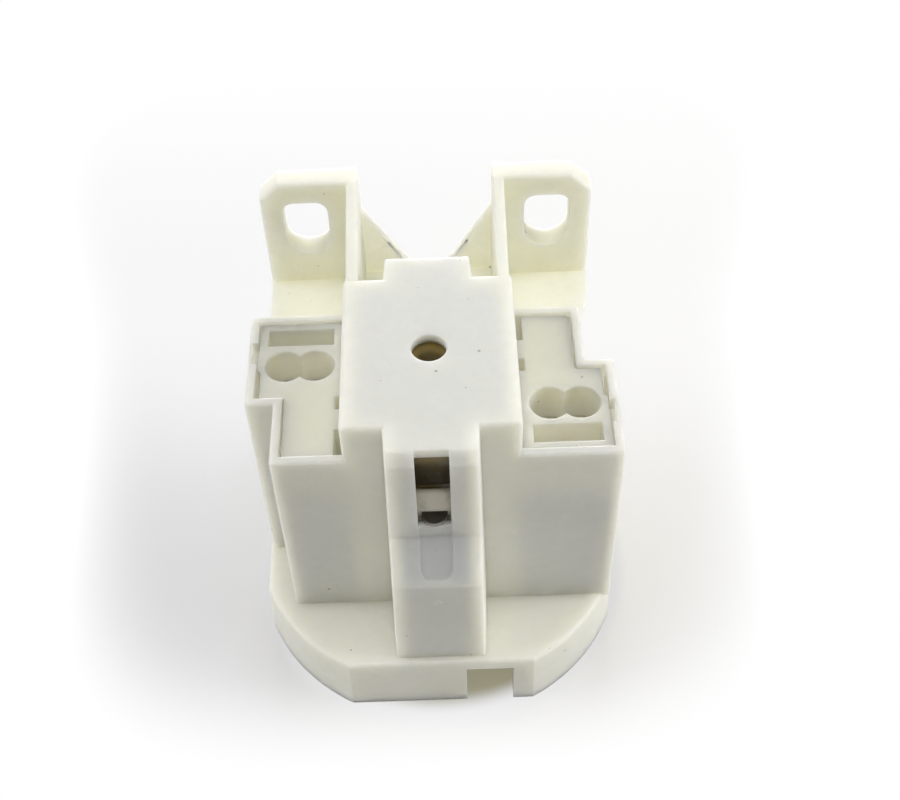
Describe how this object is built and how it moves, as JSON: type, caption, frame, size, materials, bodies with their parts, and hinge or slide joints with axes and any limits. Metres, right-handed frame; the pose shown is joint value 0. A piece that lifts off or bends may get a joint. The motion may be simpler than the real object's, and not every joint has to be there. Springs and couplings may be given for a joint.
{
  "type": "compact fluorescent lamp holder",
  "caption": "White push-in holder for a two-pin compact fluorescent lamp, with a tower, terminal pockets with wire entries, a skirt and upright fixing lugs.",
  "frame": {"origin": "on the lamp axis, in the plane of the skirt's open rim", "axes": "+Z along the lamp axis away from the lamp, +Y towards the fixing lugs, +X to the right seen from the front rib"},
  "size_m": [0.0408, 0.0453, 0.0432],
  "materials": {
    "housing_plastic": "satin",
    "insert_plastic": "satin",
    "spring_steel": "satin",
    "contact_brass": "satin",
    "leaf_steel": "satin"
  },
  "bodies": {
    "root": {"housing": "housing_plastic", "retention_spring": "spring_steel", "right_terminal_insert": "insert_plastic", "left_terminal_insert": "insert_plastic", "right_contact_strip": "contact_brass", "left_contact_strip": "contact_brass", "right_clamp_leaf": "leaf_steel", "left_clamp_leaf": "leaf_steel"}
  },
  "joints": []
}
